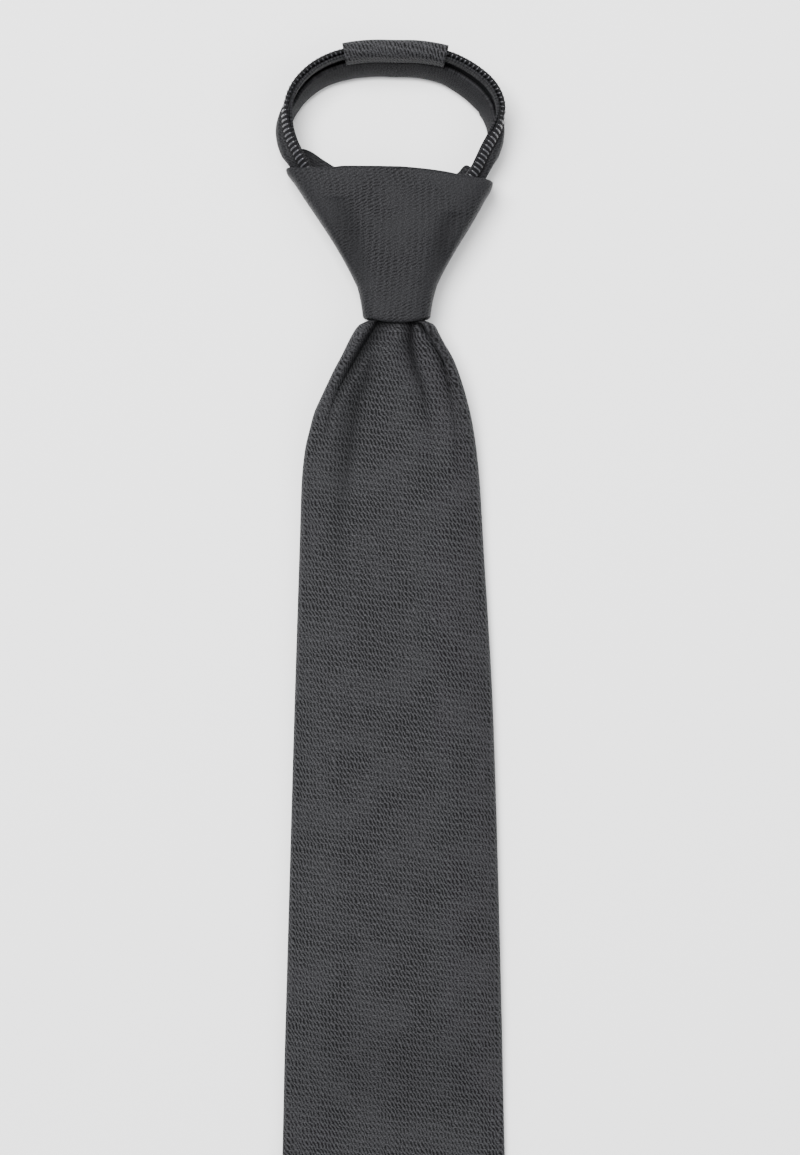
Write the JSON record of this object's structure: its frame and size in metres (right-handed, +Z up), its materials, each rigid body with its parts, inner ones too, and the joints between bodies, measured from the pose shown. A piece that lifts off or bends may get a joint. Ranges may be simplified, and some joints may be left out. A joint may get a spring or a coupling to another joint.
{
  "type": "zipper necktie",
  "caption": "Pre-tied charcoal necktie lying flat, with a triangular knot, a zip-edged neck loop and a pointed blade.",
  "frame": {"origin": "on the surface that the tie lies on, under the middle of its outline", "axes": "+Z up out of the tie's front face, +Y along the tie towards the neck loop, +X to the right as seen from the front"},
  "size_m": [0.07, 0.5478, 0.0164],
  "materials": {
    "tie_cloth": "fine figured weave, slight sheen",
    "band_cloth": "fine plain weave, slight sheen",
    "zip_coil": "smooth glossy nylon",
    "slider_metal": "satin lacquer"
  },
  "bodies": {
    "root": {"blade": "tie_cloth", "knot": "tie_cloth", "band_left": "band_cloth", "band_right": "band_cloth", "coil_left": "zip_coil", "coil_right": "zip_coil", "neck_sleeve": "tie_cloth", "zip_slider": "slider_metal"}
  },
  "joints": []
}
